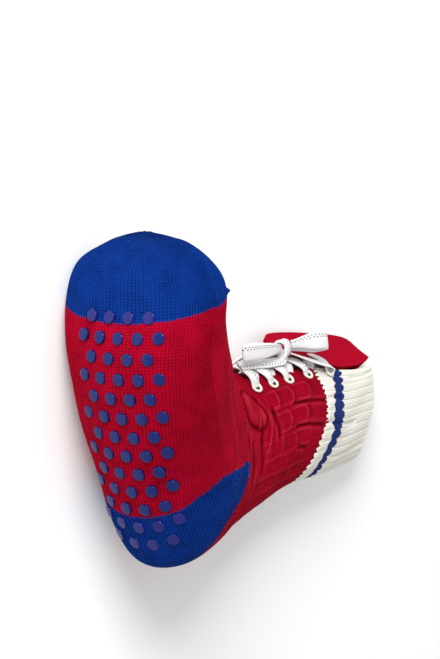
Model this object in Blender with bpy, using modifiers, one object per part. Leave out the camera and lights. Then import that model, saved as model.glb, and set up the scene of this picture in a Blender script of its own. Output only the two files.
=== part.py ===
"""A knitted slipper sock lying on its side: foot, heel, leg and cuff knitted whole, with grip dots,
a felt tongue, eyelets and a flat lace tied in a bow. Metres. In the sock's own frame X runs up the leg
from the sole, Y from heel to toe, and Z towards the side that lies uppermost."""

from math import cos, radians, sin, sqrt

import bmesh
import bpy
from mathutils import Matrix, Vector

# Sizes of the foot
FOOT_LENGTH = 0.2045
BALL_WIDTH = 0.110
INSTEP_HEIGHT = 0.098

# Sizes of the leg
LEG_HEIGHT = 0.241
ANKLE_DEPTH = 0.1015
LEG_WIDTH = 0.053

# Knit
WALL = 0.0025
CUFF_STEP = 0.0012
TOE_SEAM_HEIGHT = 0.0020
FLOOR_FLAT = 0.0024

# Throat and eyelets, angles in degrees from the front of the leg
THROAT_TOP_ANGLE = 30.0
THROAT_END_ANGLE = 18.0
EYELET_ANGLE = 35.0
EYELET_RADIUS = 0.0038
EYELET_WIRE = 0.0009

# Grip dots
DOT_PITCH = 0.0140
DOT_RADIUS = 0.0039
DOT_HEIGHT = 0.0011
DOT_START = 0.0575
DOT_ROWS = 13

# Lace and tongue
LACE_WIDTH = 0.0085
LACE_THICKNESS = 0.0012
CROSSING_SHARE = 0.75
KNOT_RADIUS = 0.0049
TONGUE_THICKNESS = 0.0020
CLEARANCE = 0.0003
LACE_LIFT = 3 * CLEARANCE + 2 * EYELET_WIRE + LACE_THICKNESS / 2

RINGS_PER_SECTION = 3
COLUMNS = 28
THROAT_COLUMNS = 4

# Sections from the cuff's end down to the ankle. Heights are shares of the leg above the instep, depths
# are shares of ANKLE_DEPTH, half widths of LEG_WIDTH, and side shifts of BALL_WIDTH.
# name, back height, back depth, front height, front depth, half width, widest place, side shift
LEG_SECTIONS = (
    ("cuff_end", 0.811, 0.197, 1.000, 0.798, 0.245, 0.52, 0.082),
    ("stripe", 0.573, 0.207, 0.783, 0.837, 0.358, 0.52, 0.064),
    ("cuff_foot", 0.427, 0.217, 0.552, 0.926, 0.434, 0.52, 0.045),
    ("shin", 0.161, 0.158, 0.280, 0.966, 0.500, 0.51, 0.005),
    ("ankle", -0.091, 0.079, 0.133, 0.990, 0.538, 0.49, -0.027),
)

# Sections from the heel to the toe. Heights are shares of INSTEP_HEIGHT, sole places of FOOT_LENGTH, top
# places of the length in front of the ankle, half widths and side shifts of BALL_WIDTH.
# name, sole height, sole place, top height, top place, half width, widest place, side shift
FOOT_SECTIONS = (
    ("heel_back", 0.580, 0.002, 1.080, 0.024, 0.314, 0.45, -0.041),
    ("heel_turn", 0.306, 0.007, 1.030, 0.053, 0.386, 0.42, -0.050),
    ("heel_sole", 0.204, 0.093, 1.000, 0.092, 0.409, 0.41, -0.055),
    ("arch", 0.112, 0.264, 0.940, 0.170, 0.418, 0.38, -0.032),
    ("waist", 0.030, 0.455, 0.830, 0.316, 0.459, 0.33, 0.014),
    ("ball", 0.000, 0.650, 0.720, 0.510, 0.482, 0.31, 0.045),
    ("toe_base", 0.060, 0.792, 0.680, 0.694, 0.500, 0.37, 0.045),
    ("toe_mid", 0.153, 0.910, 0.600, 0.840, 0.432, 0.44, 0.027),
    ("toe_end", 0.276, 0.976, 0.530, 0.942, 0.255, 0.50, 0.027),
    ("tip", 0.388, 0.998, 0.440, 1.000, 0.045, 0.50, 0.027),
)

# Places along the sock, counted in sections from the cuff's end
CUFF_FOOT = 2.0
THROAT_END = 3.95
TOE_SEAM = 11.0
EYELETS = (3.72, 3.09, 2.66, 2.20, 1.60)

# The tongue's strip under the laces: places along the leg, and half its angle around the leg
TONGUE_STRIP = (
    (4.10, 24),
    (3.70, 30),
    (3.20, 32),
    (2.70, 32),
    (2.20, 32),
    (1.70, 30),
    (1.20, 28),
    (0.80, 26),
    (0.40, 24),
)

# The tongue's free top, folded forward over the laces. Heights are shares of LEG_HEIGHT, depths of
# ANKLE_DEPTH, sides of LEG_WIDTH.
# height, near depth, near side, far depth, far side
TONGUE_FLAP = (
    (1.003, 0.806, 0.250, 0.850, 0.060),
    (0.980, 0.850, 0.250, 0.930, 0.030),
    (0.930, 0.852, 0.240, 0.985, -0.030),
    (0.846, 0.890, 0.220, 1.034, -0.100),
    (0.763, 0.990, 0.189, 1.074, -0.140),
    (0.701, 1.040, 0.132, 1.094, -0.170),
    (0.675, 1.055, 0.038, 1.080, -0.120),
)

BOW = ("lace_knot", "lace_loop_left", "lace_loop_right", "lace_end_near", "lace_end_far")

# The knot's place over the throat, and the routes of the bow and of the lace from the top eyelets to it,
# all counted from the knot in lace widths.
KNOT_PLACE = (2.55, 9.8)
KNOT_LIFT = 0.0117
NEAR_TOP = (
    (2.92, -1.63, 1.20),
    (1.74, -1.04, 0.79),
    (0.46, -0.36, 0.33),
)
FAR_TOP = (
    (2.45, -1.10, -2.10),
    (1.27, -0.69, -1.39),
    (0.39, -0.36, -0.51),
)
LEFT_LOOP = (
    (-0.61, 0.22, 0.24),
    (-1.43, 0.40, 0.44),
    (-2.73, 0.58, 0.48),
    (-4.02, 0.74, 0.32),
    (-4.70, 0.80, 0.00),
    (-4.02, 0.72, -0.32),
    (-2.61, 0.52, -0.44),
    (-1.43, 0.32, -0.36),
    (-0.61, 0.10, -0.14),
)
RIGHT_LOOP = (
    (0.47, 0.31, 0.45),
    (1.27, 0.37, 1.26),
    (2.22, 0.31, 1.85),
    (3.10, 0.07, 1.79),
    (2.92, -0.10, 1.08),
    (1.86, -0.04, 0.55),
    (0.58, 0.02, 0.08),
)
NEAR_END = (
    (-0.45, -0.66, 0.14),
    (-1.15, -0.66, 0.10),
    (-2.20, -0.56, -0.10),
    (-3.30, -0.39, -0.42),
    (-4.35, -0.24, -0.80),
)
FAR_END = (
    (-0.18, -0.10, -0.79),
    (-0.61, -0.04, -1.39),
    (-1.43, -0.16, -2.10),
    (-2.37, -0.51, -2.68),
    (-3.20, -0.93, -3.10),
)


def catmull_rom(a, b, c, d, f):
    """The value at share f from b to c on a smooth curve through a, b, c and d."""
    return 0.5 * (
        2 * b
        + (c - a) * f
        + (2 * a - 5 * b + 4 * c - d) * f**2
        + (3 * b - a - 3 * c + d) * f**3
    )


def section_sizes():
    """Each section as back x, back y, front x, front y, half width, widest place and side shift, in metres."""
    leg = LEG_HEIGHT - INSTEP_HEIGHT
    forefoot = FOOT_LENGTH - ANKLE_DEPTH
    sections = []
    for _, back_x, back_y, front_x, front_y, half, widest, side in LEG_SECTIONS:
        sections.append(
            (
                INSTEP_HEIGHT + back_x * leg,
                back_y * ANKLE_DEPTH,
                INSTEP_HEIGHT + front_x * leg,
                front_y * ANKLE_DEPTH,
                half * LEG_WIDTH,
                widest,
                side * BALL_WIDTH,
            )
        )
    for _, sole_x, sole_y, top_x, top_y, half, widest, side in FOOT_SECTIONS:
        sections.append(
            (
                sole_x * INSTEP_HEIGHT,
                sole_y * FOOT_LENGTH,
                top_x * INSTEP_HEIGHT,
                ANKLE_DEPTH + top_y * forefoot,
                half * BALL_WIDTH,
                widest,
                side * BALL_WIDTH,
            )
        )
    return sections


SECTIONS = section_sizes()
LAST = len(SECTIONS) - 1


def section_at(t):
    """The section's sizes at place t, between two rows of the tables."""
    i = min(max(int(t), 0), LAST - 1)
    b, c = SECTIONS[i], SECTIONS[i + 1]
    a = SECTIONS[i - 1] if i > 0 else [2 * p - q for p, q in zip(b, c)]
    d = SECTIONS[i + 2] if i + 2 <= LAST else [2 * q - p for p, q in zip(b, c)]
    return [catmull_rom(*values, t - i) for values in zip(a, b, c, d)]


def skin(t, degrees):
    """A point of the knit's outer face: 0 degrees at the front, 90 at the upper side, 180 at the sole."""
    back_x, back_y, front_x, front_y, half, widest, side = section_at(t)
    u = radians(degrees)
    share = widest + (1 - widest if cos(u) > 0 else widest) * cos(u)
    return Vector(
        (
            back_x + (front_x - back_x) * share,
            back_y + (front_y - back_y) * share,
            side + half * sin(u),
        )
    )


def skin_normal(t, degrees):
    """The outward direction at a point of the knit's outer face."""
    step = 0.02
    along = skin(min(t + step, LAST), degrees) - skin(max(t - step, 0), degrees)
    around = skin(t, degrees + 2) - skin(t, degrees - 2)
    return along.cross(around).normalized()


def over_skin(t, degrees, lift):
    """A point at a height over the knit's outer face."""
    return skin(t, degrees) + lift * skin_normal(t, degrees)


def from_knot(route):
    """The points of a route that is counted from the knot in lace widths."""
    knot = over_skin(*KNOT_PLACE, KNOT_LIFT)
    return [knot + LACE_WIDTH * Vector(step) for step in route]


def knit_lift(t, degrees):
    """How far the knit stands out: the cuff's doubled rib and the seam over the toes."""
    lift = CUFF_STEP if t < CUFF_FOOT else 0.0
    from_front = abs((degrees + 180) % 360 - 180)
    if abs(t - TOE_SEAM) < 0.01 and from_front < 75:
        lift += TOE_SEAM_HEIGHT
    return lift


def far_side(t_from, t_to):
    """Points over the knit's lower side, between two places along it."""
    steps = 16
    points = []
    for i in range(steps + 1):
        t = t_from + (t_to - t_from) * i / steps
        points += [over_skin(t, a, knit_lift(t, a)) for a in range(190, 351, 10)]
    return points


def up_direction(lean, roll):
    """The floor's upward direction in the sock's frame, once the sock is leant about Y and rolled about X."""
    return Vector((-sin(lean) * cos(roll), sin(roll), cos(lean) * cos(roll)))


def lowest(points, up):
    return min(point.dot(up) for point in points)


def balanced(low, high, difference):
    """The angle between two limits where a falling difference passes zero."""
    for _ in range(18):
        middle = (low + high) / 2
        if difference(middle) > 0:
            low = middle
        else:
            high = middle
    return middle


def resting_angles():
    """The lean and the roll that lay the heel, the ball of the foot and the cuff on one floor."""
    cuff, heel, ball = far_side(0, CUFF_FOOT), far_side(5, 8), far_side(9, LAST)

    def lean_for(roll):
        def cuff_over_foot(lean):
            up = up_direction(lean, roll)
            return lowest(cuff, up) - min(lowest(heel, up), lowest(ball, up))

        return balanced(0.0, radians(40), cuff_over_foot)

    def heel_over_ball(roll):
        up = up_direction(lean_for(roll), roll)
        return lowest(heel, up) - lowest(ball, up)

    roll = balanced(radians(-20), radians(20), heel_over_ball)
    return lean_for(roll), roll


LEAN, ROLL = resting_angles()
UP = up_direction(LEAN, ROLL)
FLOOR = lowest(far_side(0, LAST), UP) + FLOOR_FLAT


def on_floor(point, lift=0.0):
    """The point, raised onto the floor where it would lie under it."""
    depth = FLOOR + lift - point.dot(UP)
    return point + UP * max(depth, 0.0)


def material(name, colour, roughness, metallic=0.0):
    made = bpy.data.materials.new(name)
    made.use_nodes = True
    shader = made.node_tree.nodes["Principled BSDF"]
    shader.inputs["Base Color"].default_value = (*colour, 1)
    shader.inputs["Roughness"].default_value = roughness
    shader.inputs["Metallic"].default_value = metallic
    made.diffuse_color = (*colour, 1)
    return made


def add_object(name, mesh, parts, finish, parent):
    """A mesh as a named object of a collection, under the resting frame."""
    obj = bpy.data.objects.new(name, mesh)
    parts.objects.link(obj)
    mesh.materials.append(finish)
    obj.parent = parent
    return obj


def grid_mesh(name, rows, wanted=lambda i, j: True, closed=False):
    """An open mesh through rows of points, with the faces that are wanted."""
    built = bmesh.new()
    verts = [[built.verts.new(point) for point in row] for row in rows]
    columns = len(rows[0])
    for i in range(len(rows) - 1):
        for j in range(columns if closed else columns - 1):
            k = (j + 1) % columns
            if wanted(i, j):
                built.faces.new((verts[i][j], verts[i][k], verts[i + 1][k], verts[i + 1][j]))
    if closed:
        built.faces.new(verts[-1])
    loose = [vert for vert in built.verts if not vert.link_faces]
    bmesh.ops.delete(built, geom=loose, context="VERTS")
    bmesh.ops.recalc_face_normals(built, faces=built.faces)
    mesh = bpy.data.meshes.new(name)
    built.to_mesh(mesh)
    built.free()
    mesh.shade_smooth()
    return mesh


def thicken(obj, thickness, offset):
    solid = obj.modifiers.new("wall", "SOLIDIFY")
    solid.thickness = thickness
    solid.offset = offset
    return solid


def throat_half(t):
    """Half the throat's angle at a place along the leg."""
    share = min(t / THROAT_END, 1.0)
    return THROAT_TOP_ANGLE + (THROAT_END_ANGLE - THROAT_TOP_ANGLE) * share


def ring_places():
    """Where the knit's rings lie, with close ones at the cuff's step, the throat's end and the toe seam."""
    step = 1 / RINGS_PER_SECTION
    places = [i * step for i in range(LAST * RINGS_PER_SECTION + 1)]
    special = [CUFF_FOOT - 0.03, CUFF_FOOT + 0.03, THROAT_END, TOE_SEAM - 0.12, TOE_SEAM, TOE_SEAM + 0.12]
    kept = [t for t in places if min(abs(t - s) for s in special) > 0.1]
    return sorted(kept + special)


def knit_sock(parts, finish, parent):
    """The whole knit as one wall, open at the cuff and down the throat."""
    places = ring_places()
    rows = []
    for t in places:
        half = throat_half(t)
        angles = [half + (360 - 2 * half) * j / COLUMNS for j in range(COLUMNS)]
        angles += [360 - half + 2 * half * j / THROAT_COLUMNS for j in range(THROAT_COLUMNS)]
        rows.append([on_floor(over_skin(t, a, knit_lift(t, a))) for a in angles])
    end = places.index(THROAT_END)
    mesh = grid_mesh("knit_sock", rows, lambda i, j: j < COLUMNS or i >= end, closed=True)
    obj = add_object("knit_sock", mesh, parts, finish, parent)
    thicken(obj, WALL, -1)
    return obj


def lengths(points):
    """The length along a line of points up to each of them."""
    total = [0.0]
    for a, b in zip(points, points[1:]):
        total.append(total[-1] + (b - a).length)
    return total


def value_at(wanted, total, values):
    """The value where a running total reaches the wanted one."""
    for i in range(len(total) - 1):
        if total[i + 1] >= wanted:
            share = (wanted - total[i]) / (total[i + 1] - total[i])
            return values[i] + (values[i + 1] - values[i]) * share
    return values[-1]


def dot_places():
    """(place, angle) of each grip dot: staggered rows of four and five over the sole."""
    steps = 240
    along = [LAST - LAST * i / steps for i in range(steps + 1)]
    sole = lengths([skin(t, 180) for t in along])
    angles = [90 + i * 2 for i in range(91)]
    found = []
    for row in range(DOT_ROWS):
        t = value_at(DOT_START + row * DOT_PITCH * sqrt(3) / 2, sole, along)
        around = lengths([skin(t, a) for a in angles])
        middle = value_at(180, angles, around)
        count = 4 + row % 2
        for i in range(count):
            across = (i - (count - 1) / 2) * DOT_PITCH
            found.append((t, value_at(middle + across, around, angles)))
    return found


def facing(point, normal, along):
    """A frame at a point with Z along the normal and X as near as it can be to another direction."""
    z = normal.normalized()
    y = z.cross(along).normalized()
    x = y.cross(z)
    return Matrix.Translation(point) @ Matrix((x, y, z)).transposed().to_4x4()


def grip_dots(cutters, sock):
    """Low round studs joined to the knit's sole."""
    built = bmesh.new()
    sunk = WALL / 2
    for t, degrees in dot_places():
        normal = skin_normal(t, degrees)
        middle = over_skin(t, degrees, (DOT_HEIGHT - sunk) / 2)
        bmesh.ops.create_cone(
            built,
            cap_ends=True,
            segments=8,
            radius1=DOT_RADIUS,
            radius2=DOT_RADIUS * 0.8,
            depth=DOT_HEIGHT + sunk,
            matrix=facing(middle, normal, Vector((0, 1, 0))),
        )
    mesh = bpy.data.meshes.new("grip_dots")
    built.to_mesh(mesh)
    built.free()
    obj = bpy.data.objects.new("grip_dots", mesh)
    cutters.objects.link(obj)
    obj.parent = sock.parent
    obj.hide_render = True
    obj.display_type = "WIRE"
    join = sock.modifiers.new("grip dots", "BOOLEAN")
    join.operation = "UNION"
    join.object = obj


def eyelets(parts, finish, parent):
    """Five rings down each side of the throat."""
    for side, sign in (("near", 1), ("far", -1)):
        for i, t in enumerate(EYELETS):
            angle = sign * EYELET_ANGLE
            normal = skin_normal(t, angle)
            lift = CLEARANCE + EYELET_WIRE + (CUFF_STEP if t < CUFF_FOOT else 0)
            bpy.ops.mesh.primitive_torus_add(
                major_radius=EYELET_RADIUS - EYELET_WIRE,
                minor_radius=EYELET_WIRE,
                major_segments=12,
                minor_segments=5,
            )
            obj = bpy.context.object
            for holder in obj.users_collection:
                holder.objects.unlink(obj)
            parts.objects.link(obj)
            obj.name = f"eyelet_{side}_{i + 1}"
            obj.data.materials.append(finish)
            obj.data.shade_smooth()
            obj.parent = parent
            obj.matrix_local = facing(over_skin(t, angle, lift), normal, Vector((1, 0, 0)))


def smooth_line(points, steps):
    """A smooth line through points, with a number of steps between each two."""
    ends = [2 * points[0] - points[1], *points, 2 * points[-1] - points[-2]]
    line = []
    for a, b, c, d in zip(ends, ends[1:], ends[2:], ends[3:]):
        line += [catmull_rom(a, b, c, d, i / steps) for i in range(steps)]
    return line + [points[-1]]


def band_rows(line, faces_up, width):
    """The two edges of a flat band along a line, with its flat side turned up."""
    rows = []
    for i, point in enumerate(line):
        along = line[min(i + 1, len(line) - 1)] - line[max(i - 1, 0)]
        across = along.cross(faces_up[i]).normalized()
        rows.append([point - across * width / 2, point, point + across * width / 2])
    return rows


def lace_run(t_from, angle_from, t_to, angle_to, lift):
    """A flat run of lace over the throat, as its line and its upward directions."""
    steps = 6
    line, ups = [], []
    for i in range(steps + 1):
        t = t_from + (t_to - t_from) * i / steps
        angle = angle_from + (angle_to - angle_from) * i / steps
        over_cuff = CUFF_STEP if t < CUFF_FOOT + 0.1 else 0
        line.append(over_skin(t, angle, lift + over_cuff))
        ups.append(skin_normal(t, angle))
    return line, ups


def flat_band(name, points, ups, holder, finish, parent):
    """A flat stretch of lace along a line of points."""
    rows = band_rows(points, ups, LACE_WIDTH * CROSSING_SHARE)
    mesh = grid_mesh(name, [[on_floor(point, LACE_THICKNESS / 2) for point in row] for row in rows])
    obj = add_object(name, mesh, holder, finish, parent)
    thicken(obj, LACE_THICKNESS, 0)
    return obj


def lace_crossings(parts, cutters, finish, parent):
    """The lace over the throat as one solid: a bar at the lowest eyelets, a crossing between each pair of
    eyelets and the pair above it, and the two runs from the top eyelets to the knot."""
    low, high = LACE_LIFT, LACE_LIFT + LACE_THICKNESS * 0.6
    runs = []
    for i in range(1, len(EYELETS)):
        runs.append(lace_run(EYELETS[i], EYELET_ANGLE, EYELETS[i - 1], -EYELET_ANGLE, high))
        runs.append(lace_run(EYELETS[i], -EYELET_ANGLE, EYELETS[i - 1], EYELET_ANGLE, low))
    for sign, route in ((1, NEAR_TOP), (-1, FAR_TOP)):
        start = over_skin(EYELETS[-1], sign * EYELET_ANGLE, low + CUFF_STEP)
        points = smooth_line([start, *from_knot(route)], 3)
        up = skin_normal(EYELETS[-1], sign * EYELET_ANGLE)
        front = Vector((0, 1, 0))
        ups = [up.lerp(front, j / len(points)) for j in range(len(points))]
        runs.append((points, ups))
    line, ups = lace_run(EYELETS[0], EYELET_ANGLE, EYELETS[0], -EYELET_ANGLE, low)
    whole = flat_band("lace_crossings", line, ups, parts, finish, parent)
    for i, (line, ups) in enumerate(runs):
        run = flat_band(f"lace_run_{i + 1}", line, ups, cutters, finish, parent)
        run.hide_render = True
        run.display_type = "WIRE"
        join = whole.modifiers.new(run.name, "BOOLEAN")
        join.operation = "UNION"
        join.object = run


def ribbon(name, route, across, parts, finish, parent):
    """A flat lace along a route, drawn in where it leaves the knot."""
    line = smooth_line(from_knot(route), 3)
    side = Vector(across).normalized()
    rows = []
    for i, point in enumerate(line):
        from_end = min(i, len(line) - 1 - i) if name.startswith("lace_loop") else i
        half = LACE_WIDTH / 2 * min(1.0, 0.45 + 0.18 * from_end)
        rows.append([point - side * half, point, point + side * half])
    obj = add_object(name, grid_mesh(name, rows), parts, finish, parent)
    thicken(obj, LACE_THICKNESS, 0)


def bow(parts, finish, parent):
    """The knot, its two loops and its two ends."""
    bpy.ops.mesh.primitive_uv_sphere_add(segments=12, ring_count=8, radius=1)
    knot = bpy.context.object
    for holder in knot.users_collection:
        holder.objects.unlink(knot)
    parts.objects.link(knot)
    knot.name = "lace_knot"
    knot.data.transform(Matrix.Diagonal((KNOT_RADIUS * 0.9, KNOT_RADIUS * 1.1, KNOT_RADIUS, 1)))
    knot.data.materials.append(finish)
    knot.data.shade_smooth()
    knot.parent = parent
    knot.location = over_skin(*KNOT_PLACE, KNOT_LIFT)
    ribbon("lace_loop_left", LEFT_LOOP, (0.1, 1.0, 0), parts, finish, parent)
    ribbon("lace_loop_right", RIGHT_LOOP, (0.17, 0.97, -0.14), parts, finish, parent)
    ribbon("lace_end_near", NEAR_END, (0, -0.5, 0.86), parts, finish, parent)
    ribbon("lace_end_far", FAR_END, (0.3, 0.5, 0.7), parts, finish, parent)


def tongue(parts, finish, parent):
    """The felt tongue: a strip inside the throat, and its top folded forward over the laces."""
    inside = WALL + 2 * CLEARANCE + TONGUE_THICKNESS / 2
    across = [-1, -0.5, 0, 0.5, 1]
    rows = []
    for t, half in TONGUE_STRIP:
        rows.append([over_skin(t, -half * share, -inside) for share in across])
    for height, near_depth, near_side, far_depth, far_side in TONGUE_FLAP:
        near = Vector((height * LEG_HEIGHT, near_depth * ANKLE_DEPTH, near_side * LEG_WIDTH))
        far = Vector((height * LEG_HEIGHT, far_depth * ANKLE_DEPTH, far_side * LEG_WIDTH))
        points = [near.lerp(far, (share + 1) / 2) for share in across]
        rows.append([on_floor(point, TONGUE_THICKNESS / 2) for point in points])
    smooth = [smooth_line([row[j] for row in rows], 2) for j in range(len(across))]
    mesh = grid_mesh("tongue", [list(row) for row in zip(*smooth)])
    obj = add_object("tongue", mesh, parts, finish, parent)
    thicken(obj, TONGUE_THICKNESS, 0)


def centre_over_origin(parts, rest):
    """Moves the resting frame so that the sock, without its bow, is centred over the origin."""
    bpy.context.view_layer.update()
    graph = bpy.context.evaluated_depsgraph_get()
    corners = []
    for obj in parts.objects:
        if obj.type == "MESH" and obj.name not in BOW:
            solid = obj.evaluated_get(graph)
            corners += [solid.matrix_world @ vert.co for vert in solid.data.vertices]
    for axis in (0, 1):
        values = [corner[axis] for corner in corners]
        rest.location[axis] -= (min(values) + max(values)) / 2


def build():
    for obj in list(bpy.data.objects):
        bpy.data.objects.remove(obj)
    scene = bpy.context.scene.collection
    parts = bpy.data.collections.new("slipper_sock")
    cutters = bpy.data.collections.new("cutters")
    scene.children.link(parts)
    scene.children.link(cutters)
    cutters.hide_render = True
    rest = bpy.data.objects.new("resting_frame", None)
    parts.objects.link(rest)
    rest.rotation_mode = "YXZ"
    rest.rotation_euler = (ROLL, LEAN, 0)
    knit = material("red_knit", (0.42, 0.0, 0.02), 0.9)
    metal = material("eyelet_cream", (0.75, 0.72, 0.6), 0.4)
    lace = material("lace_white", (0.85, 0.85, 0.85), 0.8)
    sock = knit_sock(parts, knit, rest)
    grip_dots(cutters, sock)
    eyelets(parts, metal, rest)
    felt = material("felt_red", (0.40, 0.0, 0.02), 0.95)
    tongue(parts, felt, rest)
    lace_crossings(parts, cutters, lace, rest)
    bow(parts, lace, rest)
    rest.location.z = -FLOOR
    centre_over_origin(parts, rest)


build()
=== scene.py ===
"""The looks of a knitted slipper sock that lies on its side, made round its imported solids. Metres. In the
sock's own frame X runs up the leg from the sole, Y from heel to toe, and Z towards the side that lies
uppermost. A place on the knit is (t, degrees): t counts the sections of the tables from the cuff's end,
and the angle runs round the sock from 0 at the front, 90 at the upper side, to 180 at the sole."""

from math import cos, pi, radians, sin, sqrt

import bpy
import numpy as np
from mathutils import Matrix, Vector


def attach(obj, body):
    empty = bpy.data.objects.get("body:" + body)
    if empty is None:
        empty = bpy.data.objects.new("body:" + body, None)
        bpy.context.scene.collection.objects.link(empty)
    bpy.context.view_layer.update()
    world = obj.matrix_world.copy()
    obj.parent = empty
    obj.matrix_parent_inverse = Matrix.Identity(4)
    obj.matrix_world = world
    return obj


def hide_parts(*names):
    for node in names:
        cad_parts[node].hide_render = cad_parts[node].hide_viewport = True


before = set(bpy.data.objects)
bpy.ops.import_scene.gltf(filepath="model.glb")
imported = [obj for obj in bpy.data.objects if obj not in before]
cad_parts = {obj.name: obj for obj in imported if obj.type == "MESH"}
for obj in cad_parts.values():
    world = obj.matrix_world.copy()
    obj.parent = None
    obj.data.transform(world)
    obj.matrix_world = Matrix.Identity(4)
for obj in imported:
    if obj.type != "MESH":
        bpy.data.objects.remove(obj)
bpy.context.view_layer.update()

# Sizes, the same as the solids'
FOOT_LENGTH = 0.2045
BALL_WIDTH = 0.110
INSTEP_HEIGHT = 0.098
LEG_HEIGHT = 0.241
ANKLE_DEPTH = 0.1015
LEG_WIDTH = 0.053
WALL = 0.0025
CUFF_STEP = 0.0012
THROAT_TOP_ANGLE = 30.0
THROAT_END_ANGLE = 18.0
THROAT_END = 3.95
EYELET_ANGLE = 35.0
EYELET_RADIUS = 0.0038
EYELET_WIRE = 0.0009
EYELETS = (3.72, 3.09, 2.66, 2.20, 1.60)
DOT_PITCH = 0.0140
DOT_RADIUS = 0.0039
DOT_HEIGHT = 0.0011
DOT_START = 0.0575
DOT_ROWS = 13
LACE_WIDTH = 0.0085
END_WIDTH = 0.0065
TONGUE_THICKNESS = 0.0020
CLEARANCE = 0.0003

# Sizes of the scene's own pieces
BOW_THICKNESS = 0.0019
KNOT_THICKNESS = 0.0022
RUN_THICKNESS = 0.0016
TOP_THICKNESS = 0.0011
RIBBON_SIDES = 14
TONGUE_COLUMNS = 25
EYELET_HOLE = 0.0019
HOLE_DEPTH = 0.0002
SOLE_RADIUS = 0.055
FLOOR_DROP = 0.0002

# Knit gauge, the spacing of each piece's rows of points, and the reach and depth of the relief that sets the
# painted light on the knit's raised places and the painted shade in its creases
WALES = 120
COLUMNS_PER_WALE = 4
LINING_COLUMNS = 120
STITCH_HEIGHT = 0.0019
RIBS = 36
FOOT_SPACING = 0.00095
LEG_SPACING = 0.00062
CUFF_SPACING = 0.0008
RELIEF_REACH = 6
RELIEF_DEPTH = 0.0009

# Places along the sock: where each knit piece starts or ends, and how far the leg reaches under the cuff
TOE_START = 10.84
TOE_SEAM = 11.0
FOOT_START = 4.2
LEG_START = 1.85
CUFF_LAST = 2.45
UNDER_CUFF = 0.12
TOOTH = 0.055
SCALE_PERIOD = 0.40

# Sections from the cuff's end down to the ankle: heights as shares of the leg above the instep, depths of
# ANKLE_DEPTH, half widths of LEG_WIDTH, side shifts of BALL_WIDTH.
# back height, back depth, front height, front depth, half width, widest place, side shift
LEG_SECTIONS = (
    (0.811, 0.197, 1.000, 0.798, 0.245, 0.52, 0.082),
    (0.573, 0.207, 0.783, 0.837, 0.358, 0.52, 0.064),
    (0.427, 0.217, 0.552, 0.926, 0.434, 0.52, 0.045),
    (0.161, 0.158, 0.280, 0.966, 0.500, 0.51, 0.005),
    (-0.091, 0.079, 0.133, 0.990, 0.538, 0.49, -0.027),
)

# Sections from the heel to the toe: heights as shares of INSTEP_HEIGHT, sole places of FOOT_LENGTH, top
# places of the length in front of the ankle, half widths and side shifts of BALL_WIDTH.
# sole height, sole place, top height, top place, half width, widest place, side shift
FOOT_SECTIONS = (
    (0.580, 0.002, 1.080, 0.024, 0.314, 0.45, -0.041),
    (0.306, 0.007, 1.030, 0.053, 0.386, 0.42, -0.050),
    (0.204, 0.093, 1.000, 0.092, 0.409, 0.41, -0.055),
    (0.112, 0.264, 0.940, 0.170, 0.418, 0.38, -0.032),
    (0.030, 0.455, 0.830, 0.316, 0.459, 0.33, 0.014),
    (0.000, 0.650, 0.720, 0.510, 0.482, 0.31, 0.045),
    (0.060, 0.792, 0.680, 0.694, 0.500, 0.37, 0.045),
    (0.153, 0.910, 0.600, 0.840, 0.432, 0.44, 0.027),
    (0.276, 0.976, 0.530, 0.942, 0.255, 0.50, 0.027),
    (0.388, 0.998, 0.440, 1.000, 0.045, 0.50, 0.027),
)

# The heel pocket's outline on the upper side: angle, first and last place along the sock
HEEL_OUTLINE = (
    (79, 5.30, 5.90), (82, 4.93, 6.40), (85, 4.75, 6.74), (88, 4.72, 6.92),
    (91, 4.82, 7.09), (98, 4.96, 7.30), (106, 5.10, 7.38), (110, 5.35, 7.42),
    (117, 5.54, 7.46), (125, 5.57, 7.50), (180, 5.55, 7.56),
)

# The toe pocket's edge by angle
TOE_EDGE = ((0, 10.90), (78, 10.93), (103, 10.97), (125, 10.92), (146, 10.86), (180, 10.82))

# By angle: the cuff's edge towards the leg, and the blue stripe's edges towards the leg and the cuff's end
CUFF_BANDS = (
    (0, 1.90, 1.22, 1.02),
    (20, 1.93, 1.30, 1.07),
    (41, 1.99, 1.51, 1.21),
    (60, 1.96, 1.60, 1.23),
    (76, 1.96, 1.69, 1.25),
    (88, 1.97, 1.71, 1.22),
    (100, 2.01, 1.65, 1.25),
    (112, 2.10, 1.72, 1.33),
    (126, 2.18, 1.80, 1.43),
    (139, 2.27, 1.85, 1.54),
    (160, 2.30, 1.88, 1.60),
    (180, 2.31, 1.88, 1.60),
)

# The tongue's strip under the laces: places along the leg, and half its angle around the leg
TONGUE_STRIP = (
    (4.10, 24), (3.70, 30), (3.20, 32), (2.70, 32), (2.20, 32),
    (1.70, 30), (1.20, 28), (0.80, 26), (0.40, 24),
)

# The tongue's free top, folded forward over the laces: heights as shares of LEG_HEIGHT, depths of
# ANKLE_DEPTH, sides of LEG_WIDTH. Its near edge hangs lower than the solid's and its end reaches further.
# height, near depth, near side, far depth, far side
TONGUE_FLAP = (
    (1.003, 0.806, 0.250, 0.850, 0.060),
    (0.980, 0.800, 0.285, 0.930, 0.030),
    (0.930, 0.802, 0.300, 0.985, -0.030),
    (0.846, 0.835, 0.300, 1.040, -0.100),
    (0.763, 0.920, 0.250, 1.088, -0.140),
    (0.690, 1.000, 0.160, 1.118, -0.170),
    (0.655, 1.035, 0.050, 1.104, -0.120),
)

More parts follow.
